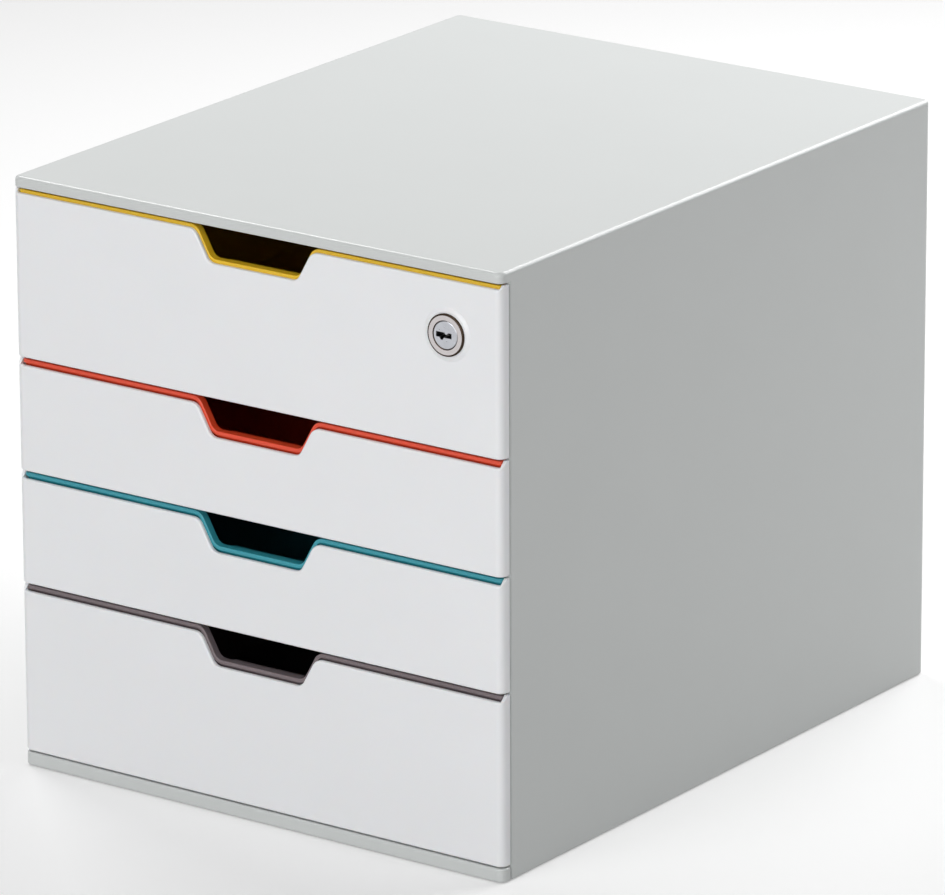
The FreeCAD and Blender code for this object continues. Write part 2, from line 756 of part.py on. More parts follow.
def build_back_panel(document, s, at):
    """Grey rear panel, held between the hood's rear return and its guides, with a sunk field."""
    piece = Piece(document, "back_panel")
    half_panel = at.side_inner - s.panel_fit
    high = at.ceiling - s.panel_fit
    low = at.deck_top
    piece.add("sheet", "Y", at.panel_front, at.panel_back, [rectangle(-half_panel, half_panel, low, high)])
    border = s.panel_field_border
    field = rectangle(-half_panel + border, half_panel - border, low + border, high - border)
    piece.cut("field", "Y", at.panel_back - s.panel_field_depth, at.panel_back + s.overrun, [field])
    piece.round(
        "field_corners", s.plan_radius,
        lambda edge: runs_along(edge, 1) and abs(span(edge, 0)[0]) < (half_panel - border / 2).number)
    return piece


def set_in_lock(piece, at):
    """Put a lock piece, made with its axis on Z and its depth along +Z, in the drawer front."""
    quarter = FreeCAD.Rotation(FreeCAD.Vector(1, 0, 0), -90)
    piece.body.Placement = FreeCAD.Placement(FreeCAD.Vector(0, 0, 0), quarter)
    bind(piece.body, "Placement.Base.x", at.lock_x)
    bind(piece.body, "Placement.Base.y", at.face)
    bind(piece.body, "Placement.Base.z", at.lock_z)
    return piece


def wafer_place(s, index):
    """Depth of the middle of one wafer."""
    return s.wafer_first + s.wafer_pitch * index


def keyway_outline(s):
    """Front view of the keyway: a flat slot with a ward in its top edge and a lobe in its bottom."""
    middle = -s.keyway_offset
    right = middle + s.keyway_width / 2
    left = middle - s.keyway_width / 2
    upper = -s.keyway_height / 2
    lower = s.keyway_height / 2
    ward = upper + s.keyway_ward
    lobe = lower + s.keyway_lobe
    lobe_left = middle - s.keyway_lobe_width
    return [
        (left, upper), (middle + s.keyway_ward / 2, upper), (middle + s.keyway_ward, ward),
        (middle + s.keyway_ward * 2, ward), (middle + s.keyway_ward * 3, upper), (right, upper),
        (right, lower), (middle, lower), (middle - s.keyway_lobe / 2, lobe),
        (lobe_left, lobe), (lobe_left - s.keyway_lobe / 2, lower), (left, lower)]


def build_lock(document, s, at):
    """Cam lock: barrel, plug, wafers, washer, nut, cam and cam screw."""
    zero = as_size(0)
    pieces = []
    front = -s.lock_standout
    head_back = front + s.plug_head_depth
    bore = s.plug_radius + s.running_fit
    head_bore = s.plug_head_radius + s.running_fit

    barrel = Piece(document, "lock_barrel")
    barrel.turn("body", [
        (head_bore, front), (s.lock_flange_radius, front), (s.lock_flange_radius, -s.collar_height),
        (s.barrel_radius, -s.collar_height), (s.barrel_radius, s.barrel_length),
        (bore, s.barrel_length), (bore, head_back), (head_bore, head_back)])
    barrel.round(
        "flange_edge", s.lock_flange_chamfer,
        lambda edge: lies_at(edge, 2, front) and span(edge, 0)[1] > s.barrel_radius.number, "Chamfer")
    barrel.round(
        "head_bore_edge", s.lock_ring_chamfer,
        lambda edge: lies_at(edge, 2, front) and span(edge, 0)[1] < s.barrel_radius.number, "Chamfer")
    groove_front = wafer_place(s, 0) - s.wafer_thickness
    groove_rear = wafer_place(s, s.wafer_count - 1) + s.wafer_thickness
    groove_half = s.wafer_width / 2 + s.groove_play
    groove_end = bore + s.groove_depth
    right = rectangle(zero, groove_end, -groove_half, groove_half)
    lower = rectangle(-groove_half, groove_half, zero, groove_end)
    barrel.cut("right_groove", "Z", groove_front, groove_rear, [right])
    barrel.cut("lower_groove", "Z", groove_front, groove_rear, [lower])
    pieces.append(barrel)

    plug = Piece(document, "lock_plug")
    plug_front = front + s.plug_face_recess
    plug_rear = s.barrel_length + s.cam_play
    head_seat = head_back - s.running_fit
    plug.turn("body", [
        (zero, plug_front), (s.plug_head_radius, plug_front), (s.plug_head_radius, head_seat),
        (s.plug_radius, head_seat), (s.plug_radius, plug_rear), (zero, plug_rear)])
    plug.round("head_edge", s.lock_ring_chamfer, lambda edge: lies_at(edge, 2, plug_front), "Chamfer")
    tail_half = s.tail_width / 2
    tail_rear = plug_rear + s.cam_thickness + s.cam_play
    tail = rectangle(-tail_half, tail_half, -tail_half, tail_half)
    plug.add("tail", "Z", plug_rear, tail_rear, [tail])
    plug.cut(
        "keyway", "Z", plug_front - s.overrun, plug_front + s.keyway_depth, [keyway_outline(s)])
    slot_half = s.wafer_width / 2 + s.wafer_play
    slot_reach = s.plug_radius + s.overrun
    slot_thickness = s.wafer_thickness / 2 + s.wafer_play
    slot = rectangle(-slot_reach, slot_reach, -slot_half, slot_half)
    slot_front = s.wafer_first - slot_thickness
    slots = plug.cut("first_slot", "Z", slot_front, s.wafer_first + slot_thickness, [slot])
    plug.repeat("slots", slots, "Z", s.wafer_pitch * (s.wafer_count - 1), s.wafer_count)
    screw_hole = (zero, zero, s.screw_radius + s.running_fit)
    hole_depth = s.screw_reach + s.cam_thickness
    plug.cut("screw_hole", "Z", tail_rear - hole_depth, tail_rear + s.overrun, circles=[screw_hole])
    pieces.append(plug)

    washer = Piece(document, "lock_washer")
    seat = at.plate_back - at.face
    washer_back = seat + s.washer_thickness
    hole = s.barrel_radius + s.barrel_hole_play
    washer.add("ring", "Z", seat, washer_back, circles=[(zero, zero, s.washer_radius)])
    washer.cut("hole", "Z", seat - s.overrun, washer_back + s.overrun, circles=[(zero, zero, hole)])
    pieces.append(washer)

    nut = Piece(document, "lock_nut")
    shares = [(math.cos(math.radians(60 * i)), math.sin(math.radians(60 * i))) for i in range(6)]
    hexagon = [(s.nut_corner_radius * u, s.nut_corner_radius * v) for u, v in shares]
    nut_back = washer_back + s.nut_thickness
    nut.add("hexagon", "Z", washer_back, nut_back, [hexagon])
    thread = (zero, zero, s.barrel_radius + s.running_fit)
    nut.cut("thread_bore", "Z", washer_back - s.overrun, nut_back + s.overrun, circles=[thread])
    pieces.append(nut)

    cam = Piece(document, "lock_cam")
    cam_back = at.cam_front + s.cam_thickness
    cam_half = s.cam_width / 2
    cam.add("tongue", "Z", at.cam_front, cam_back, [rectangle(-at.cam_reach, cam_half, -cam_half, cam_half)])
    cam.round("corners", s.cam_corner_radius, lambda edge: runs_along(edge, 2))
    hole_half = tail_half + s.cam_play
    square = rectangle(-hole_half, hole_half, -hole_half, hole_half)
    cam.cut("square_hole", "Z", at.cam_front - s.overrun, cam_back + s.overrun, [square])
    pieces.append(cam)

    screw = Piece(document, "lock_cam_screw")
    head_front = cam_back + s.cam_play
    head_rear = head_front + s.screw_head_height
    screw.turn("screw", [
        (zero, tail_rear - s.screw_reach), (s.screw_radius, tail_rear - s.screw_reach),
        (s.screw_radius, head_front), (s.screw_head_radius, head_front),
        (s.screw_head_radius, head_rear), (zero, head_rear)])
    screw.round(
        "head_edge", s.screw_head_height / 3,
        lambda edge: lies_at(edge, 2, head_rear))
    long = s.cross_length / 2
    short = s.cross_width / 2
    cross_front = head_rear - s.cross_depth
    cross_rear = head_rear + s.overrun
    screw.cut("cross_bar", "Z", cross_front, cross_rear, [rectangle(-long, long, -short, short)])
    screw.cut("cross_post", "Z", cross_front, cross_rear, [rectangle(-short, short, -long, long)])
    pieces.append(screw)
    return [set_in_lock(piece, at) for piece in pieces]


def bound_box(document, name, low, size):
    """A box whose corner and edges are bound to sizes."""
    box = document.addObject("Part::Box", name)
    for letter, place in zip("xyz", low):
        bind(box, "Placement.Base.%s" % letter, place)
    for side, length in zip(("Length", "Width", "Height"), size):
        bind(box, side, length)
    return box


def build_wafers(document, s, at):
    """Five flat plates with a window each, drawn in so that the plug can turn."""
    plates = []
    for index in range(int(s.wafer_count.number)):
        front = at.face + wafer_place(s, index) - s.wafer_thickness / 2
        blank = bound_box(
            document, "wafer_blank_%d" % (index + 1),
            (at.lock_x - s.wafer_length / 2, front, at.lock_z - s.wafer_width / 2),
            (s.wafer_length, s.wafer_thickness, s.wafer_width))
        window = bound_box(
            document, "wafer_window_%d" % (index + 1),
            (at.lock_x - s.wafer_window_length / 2, front - s.wafer_thickness,
             at.lock_z - s.wafer_window_width / 2),
            (s.wafer_window_length, s.wafer_thickness * 3, s.wafer_window_width))
        plate = document.addObject("Part::Cut", "wafer_%d" % (index + 1))
        plate.Base = blank
        plate.Tool = window
        plates.append(plate)
    group = document.addObject("Part::Compound", "lock_wafers")
    group.Links = plates
    group.Label = "lock_wafers"
    return group


def failed(document):
    """Names of the objects that didn't compute."""
    return [item.Name for item in document.Objects if "Invalid" in item.State or "Error" in item.State]


def main():
    document = FreeCAD.newDocument("drawer_box")
    s = Sheet(document)
    at = Layout(s)
    pieces = [build_hood(document, s, at), build_base(document, s, at), build_back_panel(document, s, at)]
    pieces.extend(build_feet(document, s, at))
    for drawer in at.drawers:
        pieces.append(build_tray(document, s, at, drawer))
        pieces.append(build_cover(document, s, at, drawer))
    pieces.extend(build_lock(document, s, at))
    nodes = [piece.body for piece in pieces]
    nodes.append(build_wafers(document, s, at))
    document.recompute()
    if failed(document):
        raise RuntimeError("failed: %s" % failed(document))
    for node in nodes:
        if node.Shape.isNull() or not node.Shape.isValid():
            raise RuntimeError("%s has no valid shape" % node.Label)
    os.makedirs("parts", exist_ok=True)
    for node in nodes:
        node.Shape.exportStep("parts/%s.step" % node.Label)
        box = node.Shape.BoundBox
        print("%-18s %d solids %9.0f mm3  X %.2f %.2f  Y %.2f %.2f  Z %.2f %.2f" % (
            node.Label, len(node.Shape.Solids), node.Shape.Volume,
            box.XMin, box.XMax, box.YMin, box.YMax, box.ZMin, box.ZMax))


main()
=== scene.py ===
"""Looks of a desktop drawer box with a cam lock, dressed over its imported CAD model.

Lengths are metres in the CAD model's frame: +X to the right, -Y out of the drawer fronts,
+Z up, origin on the ground under the middle of the box.
"""

from __future__ import annotations

import json
import logging
import math
from dataclasses import dataclass
from enum import Enum

import bpy
import numpy as np
from mathutils import Matrix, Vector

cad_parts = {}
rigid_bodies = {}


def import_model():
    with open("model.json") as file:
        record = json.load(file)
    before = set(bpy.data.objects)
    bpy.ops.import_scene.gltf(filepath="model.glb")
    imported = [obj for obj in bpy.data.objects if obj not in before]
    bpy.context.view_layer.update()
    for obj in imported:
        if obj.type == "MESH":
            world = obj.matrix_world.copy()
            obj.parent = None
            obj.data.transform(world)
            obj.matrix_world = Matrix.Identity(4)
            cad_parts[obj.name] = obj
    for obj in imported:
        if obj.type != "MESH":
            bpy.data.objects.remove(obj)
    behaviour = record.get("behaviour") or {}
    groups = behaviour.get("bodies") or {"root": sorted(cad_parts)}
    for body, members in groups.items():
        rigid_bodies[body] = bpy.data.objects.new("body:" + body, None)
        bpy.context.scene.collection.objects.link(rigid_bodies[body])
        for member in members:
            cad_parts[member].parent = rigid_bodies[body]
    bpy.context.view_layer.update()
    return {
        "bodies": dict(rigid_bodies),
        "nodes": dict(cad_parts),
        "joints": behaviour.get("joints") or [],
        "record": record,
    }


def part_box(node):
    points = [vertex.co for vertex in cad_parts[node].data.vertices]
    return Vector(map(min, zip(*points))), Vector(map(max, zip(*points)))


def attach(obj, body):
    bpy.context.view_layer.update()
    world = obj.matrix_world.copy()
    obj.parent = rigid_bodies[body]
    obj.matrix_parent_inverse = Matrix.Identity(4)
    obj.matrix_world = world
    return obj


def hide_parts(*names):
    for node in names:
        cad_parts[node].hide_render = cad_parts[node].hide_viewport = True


log = logging.getLogger("drawer_box")

Triple = tuple[float, float, float]
WHITE = (1.0, 1.0, 1.0, 1.0)


def mm(length: float) -> float:
    """Turns millimetres into metres."""
    return length / 1000.0


def linear(hex_colour: str) -> tuple[float, float, float, float]:
    """Turns an sRGB hex colour into linear light.

    Args:
        hex_colour: six hex digits, two each for red, green and blue.

    Returns:
        Linear red, green, blue and an alpha of 1.
    """
    shares = [int(hex_colour[i:i + 2], 16) / 255.0 for i in (0, 2, 4)]
    light = [c / 12.92 if c <= 0.04045 else ((c + 0.055) / 1.055) ** 2.4 for c in shares]
    return (light[0], light[1], light[2], 1.0)


def add_node(
    tree: bpy.types.NodeTree,
    kind: str,
    settings: dict[str, object] | None = None,
    inputs: dict[str | int, object] | None = None,
) -> bpy.types.Node:
    """Adds one node with its settings, values and links.

    Args:
        tree: the node tree that gets the node.
        kind: the node's type name.
        settings: properties of the node and their values.
        inputs: input socket names or numbers, each with a value or with the socket to link.

    Returns:
        The new node.
    """
    node = tree.nodes.new(kind)
    for name, value in (settings or {}).items():
        setattr(node, name, value)
    for name, value in (inputs or {}).items():
        if isinstance(value, bpy.types.NodeSocket):
            tree.links.new(value, node.inputs[name])
        else:
            node.inputs[name].default_value = value
    return node


def new_material(name: str) -> tuple[bpy.types.Material, bpy.types.NodeTree, bpy.types.Node]:
    """Makes an empty node material with its output.

    Args:
        name: the material's name.

    Returns:
        The material, its node tree and its output node.
    """
    material = bpy.data.materials.new(name)
    material.use_nodes = True
    tree = material.node_tree
    tree.nodes.clear()
    return material, tree, add_node(tree, "ShaderNodeOutputMaterial")


def front_centre(node: str) -> Triple:
    """Finds the middle of a CAD node's front, which the axis of a turned node goes through.

    Args:
        node: the node's name.

    Returns:
        The point's coordinates.
    """
    low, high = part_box(node)
    return ((low[0] + high[0]) / 2.0, low[1], (low[2] + high[2]) / 2.0)


@dataclass(frozen=True)
class MouldedPlastic:
    """Injection-moulded styrene plastic, dyed through, from a finely spark-eroded mould.

    The eye sees an even colour, a soft gloss broken up by fine grain, long faint waves in its
    highlights, and a little light that soaks in at thin edges. Level faces can carry the faint
    round marks of the pins that push the moulding out.
    """

    name: str
    colour: str
    roughness: float
    specular: float = 0.5
    ior: float = 1.54
    grain: float = mm(0.9)
    grain_height: float = mm(0.004)
    wave: float = mm(46.0)
    wave_height: float = mm(0.02)
    tone: float = 0.012
    soak: float = 0.0
    soak_depth: float = mm(1.5)
    pin_pitch: float = 0.0
    pin_radius: float = mm(4.0)
    pin_edge: float = mm(0.4)
    pin_height: float = mm(0.05)
    level_from: float = 0.9
    level_to: float = 0.99
    gloss_spread: float = 0.03
    soak_tint: Triple = (1.0, 0.6, 0.4)

    def pins(self, tree: bpy.types.NodeTree, place: bpy.types.NodeSocket) -> bpy.types.NodeSocket:
        """Draws the round marks that ejector pins leave on level faces.

        The height is 1 within the pin's radius of each point of a square grid, and it is
        multiplied by how level the face is.

        Args:
            tree: the material's node tree.
            place: the point on the piece.

        Returns:
            The marks' height, from 0 to 1.
        """
        level = add_node(tree, "ShaderNodeVectorMath", {"operation": "MULTIPLY"}, {
            0: place, 1: (1.0, 1.0, 0.0)})
        reach = self.pin_pitch / 2.0
        cell = add_node(tree, "ShaderNodeVectorMath", {"operation": "WRAP"}, {
            0: level.outputs[0], 1: (reach,) * 3, 2: (-reach,) * 3})
        away = add_node(tree, "ShaderNodeVectorMath", {"operation": "LENGTH"}, {
            0: cell.outputs[0]})
        disc = add_node(tree, "ShaderNodeMapRange", {"interpolation_type": "SMOOTHSTEP"}, {
            "Value": away.outputs["Value"], "From Min": self.pin_radius,
            "From Max": self.pin_radius + self.pin_edge, "To Min": 1.0, "To Max": 0.0})
        facing = add_node(tree, "ShaderNodeSeparateXYZ", {}, {
            0: add_node(tree, "ShaderNodeNewGeometry").outputs["Normal"]})
        upward = add_node(tree, "ShaderNodeMapRange", {}, {
            "Value": facing.outputs["Z"], "From Min": self.level_from, "From Max": self.level_to})
        return add_node(tree, "ShaderNodeMath", {"operation": "MULTIPLY"}, {
            0: disc.outputs["Result"], 1: upward.outputs["Result"]}).outputs[0]

    def build(self) -> bpy.types.Material:
        """Builds the material.

        Returns:
            The finished material.
        """
        material, tree, output = new_material(self.name)
        place = add_node(tree, "ShaderNodeTexCoord").outputs["Object"]
        # Real grain is about 0.1 mm wide. It is drawn coarser, so that a pixel can hold it.
        grain = add_node(tree, "ShaderNodeTexNoise", {}, {
            "Vector": place, "Scale": 1.0 / self.grain, "Detail": 2.0, "Roughness": 0.5})
        wave = add_node(tree, "ShaderNodeTexNoise", {}, {
            "Vector": place, "Scale": 1.0 / self.wave, "Detail": 1.0, "Roughness": 0.4})
        bump = add_node(tree, "ShaderNodeBump", {}, {
            "Height": wave.outputs["Fac"], "Strength": 1.0, "Distance": self.wave_height})
        if self.pin_pitch:
            bump = add_node(tree, "ShaderNodeBump", {}, {
                "Height": self.pins(tree, place), "Strength": 1.0, "Distance": self.pin_height,
                "Normal": bump.outputs["Normal"]})
        bump = add_node(tree, "ShaderNodeBump", {}, {
            "Height": grain.outputs["Fac"], "Strength": 1.0, "Distance": self.grain_height,
            "Normal": bump.outputs["Normal"]})
        base = linear(self.colour)
        darker = tuple(c * (1.0 - self.tone) for c in base[:3]) + (1.0,)
        lighter = tuple(min(c * (1.0 + self.tone), 1.0) for c in base[:3]) + (1.0,)
        tint = add_node(tree, "ShaderNodeMix", {"data_type": "RGBA"}, {
            "Factor": wave.outputs["Fac"], 6: darker, 7: lighter})
        gloss = add_node(tree, "ShaderNodeMapRange", {}, {
            "Value": grain.outputs["Fac"], "To Min": self.roughness - self.gloss_spread,
            "To Max": self.roughness + self.gloss_spread})
        shader = add_node(tree, "ShaderNodeBsdfPrincipled", {}, {
            "Base Color": tint.outputs[2], "Roughness": gloss.outputs["Result"],
            "IOR": self.ior, "Specular IOR Level": self.specular,
            "Subsurface Weight": self.soak, "Subsurface Radius": self.soak_tint,
            "Subsurface Scale": self.soak_depth, "Normal": bump.outputs["Normal"]})
        tree.links.new(shader.outputs[0], output.inputs["Surface"])
        return material


@dataclass(frozen=True)
class MouldedRubber:
    """Compression-moulded rubber: near black, matt, with a dusty fine grain."""

    name: str
    colour: str
    roughness: float = 0.85
    ior: float = 1.52
    specular: float = 0.35
    grain: float = mm(0.6)
    grain_height: float = mm(0.02)
    dust_gain: float = 1.5
    dust_lift: float = 0.01

    def build(self) -> bpy.types.Material:
        """Builds the material.

        Returns:
            The finished material.
        """
        material, tree, output = new_material(self.name)
        place = add_node(tree, "ShaderNodeTexCoord").outputs["Object"]
        grain = add_node(tree, "ShaderNodeTexNoise", {}, {
            "Vector": place, "Scale": 1.0 / self.grain, "Detail": 4.0, "Roughness": 0.6})
        base = linear(self.colour)
        dusty = tuple(min(c * self.dust_gain + self.dust_lift, 1.0) for c in base[:3]) + (1.0,)
        tint = add_node(tree, "ShaderNodeMix", {"data_type": "RGBA"}, {
            "Factor": grain.outputs["Fac"], 6: base, 7: dusty})
        bump = add_node(tree, "ShaderNodeBump", {}, {
            "Height": grain.outputs["Fac"], "Strength": 1.0, "Distance": self.grain_height})
        shader = add_node(tree, "ShaderNodeBsdfPrincipled", {}, {
            "Base Color": tint.outputs[2], "Roughness": self.roughness, "IOR": self.ior,
            "Specular IOR Level": self.specular, "Normal": bump.outputs["Normal"]})
        tree.links.new(shader.outputs[0], output.inputs["Surface"])
        return material


@dataclass(frozen=True)
class TurnedMetal:
    """Plated metal that was turned on a lathe: satin, with fine rings round the lock's axis.

    The eye sees a soft fan of light across the rings and slight clouding in the plating. Painted
    shade can darken what lies deeper than the node's front, standing in for the shade in a hollow.
    """

    name: str
    colour: str
    roughness: float
    node: str
    ring: float = mm(0.3)
    ring_height: float = mm(0.0025)
    cloud: float = mm(2.5)
    cloud_tone: float = 0.06
    gloss_spread: float = 0.25
    # Painted shade for hollows: how much to darken, from what depth behind the front, over what
    # depth, and the dark level.
    deep_shade: float = 0.0
    deep_shade_start: float = mm(0.25)
    deep_shade_depth: float = mm(0.8)
    shade_level: float = 0.004

    def build(self) -> bpy.types.Material:
        """Builds the material.

        Returns:
            The finished material.
        """
        material, tree, output = new_material(self.name)
        place = add_node(tree, "ShaderNodeTexCoord").outputs["Object"]
        across, front, height = front_centre(self.node)
        centred = add_node(tree, "ShaderNodeVectorMath", {"operation": "SUBTRACT"}, {
            0: place, 1: (across, 0.0, height)})
        # Real tool marks are about 0.05 mm apart. They are drawn coarser, so that they show.
        # At a scale of 1 the texture's rings are a tenth of pi apart.
        rings = add_node(tree, "ShaderNodeTexWave", {
            "wave_type": "RINGS", "rings_direction": "Y", "wave_profile": "SIN"}, {
            "Vector": centred.outputs[0], "Scale": math.pi / 10.0 / self.ring, "Distortion": 0.4,
            "Detail": 1.0})
        cloud = add_node(tree, "ShaderNodeTexNoise", {}, {
            "Vector": place, "Scale": 1.0 / self.cloud, "Detail": 3.0})
        bump = add_node(tree, "ShaderNodeBump", {}, {
            "Height": rings.outputs["Fac"], "Strength": 1.0, "Distance": self.ring_height})
        gloss = add_node(tree, "ShaderNodeMapRange", {}, {
            "Value": cloud.outputs["Fac"], "To Min": self.roughness * (1.0 - self.gloss_spread),
            "To Max": self.roughness * (1.0 + self.gloss_spread)})
        base = linear(self.colour)
        clouded = tuple(c * (1.0 - self.cloud_tone) for c in base[:3]) + (1.0,)
        tint = add_node(tree, "ShaderNodeMix", {"data_type": "RGBA"}, {
            "Factor": cloud.outputs["Fac"], 6: clouded, 7: base})
        behind = add_node(tree, "ShaderNodeSeparateXYZ", {}, {0: place})
        # Painted shade: behind the node's front the colour fades towards near black, in place of
        # the shade inside the keyway.
        share = add_node(tree, "ShaderNodeMapRange", {}, {
            "Value": behind.outputs["Y"], "From Min": front + self.deep_shade_start,
            "From Max": front + self.deep_shade_start + self.deep_shade_depth, "To Max": self.deep_shade})
        deep_shaded = add_node(tree, "ShaderNodeMix", {"data_type": "RGBA"}, {
            "Factor": share.outputs["Result"], 6: tint.outputs[2],
            7: (self.shade_level, self.shade_level, self.shade_level, 1.0)})
        shader = add_node(tree, "ShaderNodeBsdfPrincipled", {}, {
            "Base Color": deep_shaded.outputs[2], "Metallic": 1.0,
            "Roughness": gloss.outputs["Result"], "Normal": bump.outputs["Normal"]})
        tree.links.new(shader.outputs[0], output.inputs["Surface"])
        return material


@dataclass(frozen=True)
class PlatedMetal:
    """Stamped or cast metal with a thin plating: bright, slightly clouded, with fine scratches."""

    name: str
    colour: str
    roughness: float
    mark: float = mm(0.4)
    mark_height: float = mm(0.003)
    gloss_spread: float = 0.2

    def build(self) -> bpy.types.Material:
        """Builds the material.

        Returns:
            The finished material.
        """
        material, tree, output = new_material(self.name)
        place = add_node(tree, "ShaderNodeTexCoord").outputs["Object"]
        marks = add_node(tree, "ShaderNodeTexNoise", {}, {
            "Vector": place, "Scale": 1.0 / self.mark, "Detail": 3.0})
        bump = add_node(tree, "ShaderNodeBump", {}, {
            "Height": marks.outputs["Fac"], "Strength": 1.0, "Distance": self.mark_height})
        gloss = add_node(tree, "ShaderNodeMapRange", {}, {
            "Value": marks.outputs["Fac"], "To Min": self.roughness * (1.0 - self.gloss_spread),
            "To Max": self.roughness * (1.0 + self.gloss_spread)})
        shader = add_node(tree, "ShaderNodeBsdfPrincipled", {}, {
            "Base Color": linear(self.colour), "Metallic": 1.0,
            "Roughness": gloss.outputs["Result"], "Normal": bump.outputs["Normal"]})
        tree.links.new(shader.outputs[0], output.inputs["Surface"])
        return material


class Finish(Enum):
    """The finishes of the box, each named for what it is made of, or for the shade painted on it.
    """

    CASING = MouldedPlastic("casing_grey_styrene", "C8CBCA", 0.30)
    COVER = MouldedPlastic("cover_white_styrene", "E7E8EA", 0.36, soak=0.1)
    YELLOW = MouldedPlastic("tray_yellow_styrene", "E6BB24", 0.32, soak=0.25, pin_pitch=mm(84.0))
    RED = MouldedPlastic("tray_red_styrene", "E04A2A", 0.32, soak=0.25, pin_pitch=mm(84.0))
    TEAL = MouldedPlastic("tray_teal_styrene", "3196A4", 0.32, soak=0.25, pin_pitch=mm(84.0))
    AUBERGINE = MouldedPlastic(
        "tray_aubergine_styrene", "74686B", 0.32, soak=0.25, pin_pitch=mm(84.0))
    RUBBER = MouldedRubber("foot_black_rubber", "262626")
    CHROME = TurnedMetal("lock_satin_chrome", "D6D0D0", 0.24, "lock_barrel")
    # The plug's keyway gets painted shade, darkening it towards near black behind the plug's
    # front.
    PLUG = TurnedMetal(
        "plug_brushed_chrome", "CACCD2", 0.30, "lock_plug", ring_height=mm(0.004),
        cloud_tone=0.12, deep_shade=0.85)
    # Painted shade: the lock's dark rim and the ring round the plug are coloured near black in
    # place of the shadow and dark reflection in the gaps there.
    RIM_PAINTED_SHADE = TurnedMetal("lock_rim_painted_shade", "40342B", 0.30, "lock_barrel", cloud_tone=0.3)
    ZINC = PlatedMetal("lock_zinc_plate", "B9B8B3", 0.32)
    WAFER = PlatedMetal("wafer_stamped_nickel_silver", "8A8884", 0.34)


TRAY_FINISH = {1: Finish.YELLOW, 2: Finish.RED, 3: Finish.TEAL, 4: Finish.AUBERGINE}


class Palette:
    """Builds each finish once and hands it out."""

    def __init__(self) -> None:
        """Starts with no material made."""
        self.made: dict[Finish, bpy.types.Material] = {}

    def get(self, finish: Finish) -> bpy.types.Material:
        """Gives the material of a finish.

        Args:
            finish: the finish wanted.

        Returns:
            Its one material.
        """
        if finish not in self.made:
            self.made[finish] = finish.value.build()
        return self.made[finish]


@dataclass(frozen=True)
class Axle:
    """A straight axis that turned pieces are built round."""

    centre: Triple
    along: Triple
    side: Triple

    def place(self, radius: np.ndarray, depth: np.ndarray, angle: np.ndarray) -> np.ndarray:
        """Turns radius, depth and angle into points.

        A point is the centre, plus depth along the axis, plus radius times the cosine of the
        angle along the side direction and its sine along the third direction.

        Args:
            radius: distances from the axis, one per grid point.
            depth: distances along the axis, one per grid point.
            angle: turns about the axis in radians, one per grid point.

        Returns:
            Points, one row of three per grid point.
        """
        along, side = np.array(self.along), np.array(self.side)
        third = np.cross(along, side)
        across, upward = radius * np.cos(angle), radius * np.sin(angle)
        return (
            np.array(self.centre) + depth[..., None] * along
            + across[..., None] * side + upward[..., None] * third)


def ring_mesh(
    name: str, points: np.ndarray, materials: np.ndarray | None = None, sharp: float = 35.0,
) -> bpy.types.Object:
    """Makes a closed object from rings of points.

    The grid's rows are rings round the piece and its columns run along the profile. Each ring
    closes on itself. The profile closes on itself too, or its two ends shrink to a point.

    Args:
        name: the object's name.
        points: grid of points, rings first.
        materials: material number of each band between two rings.
        sharp: angle in degrees from which an edge stays sharp.

    Returns:
        The new object, linked to the scene, with its faces outwards.
    """
    rings, columns = points.shape[:2]
    index = np.arange(rings * columns).reshape(rings, columns)
    above = np.roll(index, -1, axis=0)
    sides = [index, np.roll(index, -1, axis=1), np.roll(above, -1, axis=1), above]
    quads = np.stack(sides, axis=-1).reshape(-1, 4)
    flat = points.reshape(-1, 3)
    corners = flat[quads] - flat.mean(axis=0)
    halves = np.concatenate([corners[:, [0, 1, 2]], corners[:, [0, 2, 3]]])
    volume = np.einsum("ij,ij->i", halves[:, 0], np.cross(halves[:, 1], halves[:, 2])).sum()
    if volume < 0.0:
        quads = quads[:, ::-1]
    mesh = bpy.data.meshes.new(name)
    mesh.from_pydata(flat.tolist(), [], quads.tolist())
    mesh.validate()
    if materials is not None:
        mesh.polygons.foreach_set("material_index", np.repeat(materials, columns).astype(np.int32))
    mesh.shade_smooth()
    mesh.set_sharp_from_angle(angle=math.radians(sharp))
    mesh.update()
    piece = bpy.data.objects.new(name, mesh)
    bpy.context.scene.collection.objects.link(piece)
    return piece


def wear(frame: dict, name: str, material: bpy.types.Material) -> None:
    """Puts one material on a CAD node.

    Args:
        name: the node's name.
        material: the material that it gets.
    """
    slots = frame["nodes"][name].data.materials
    slots.clear()
    slots.append(material)
    log.info("%s: %s", name, material.name)


@dataclass
class Housing:
    """Grey casing: hood, floor moulding and back panel."""

    nodes: tuple[str, ...] = ("housing_hood", "housing_base", "back_panel")

    def dress(self, frame: dict, palette: Palette) -> None:
        """Gives the casing's nodes their finish."""
        for name in self.nodes:
            wear(frame, name, palette.get(Finish.CASING))


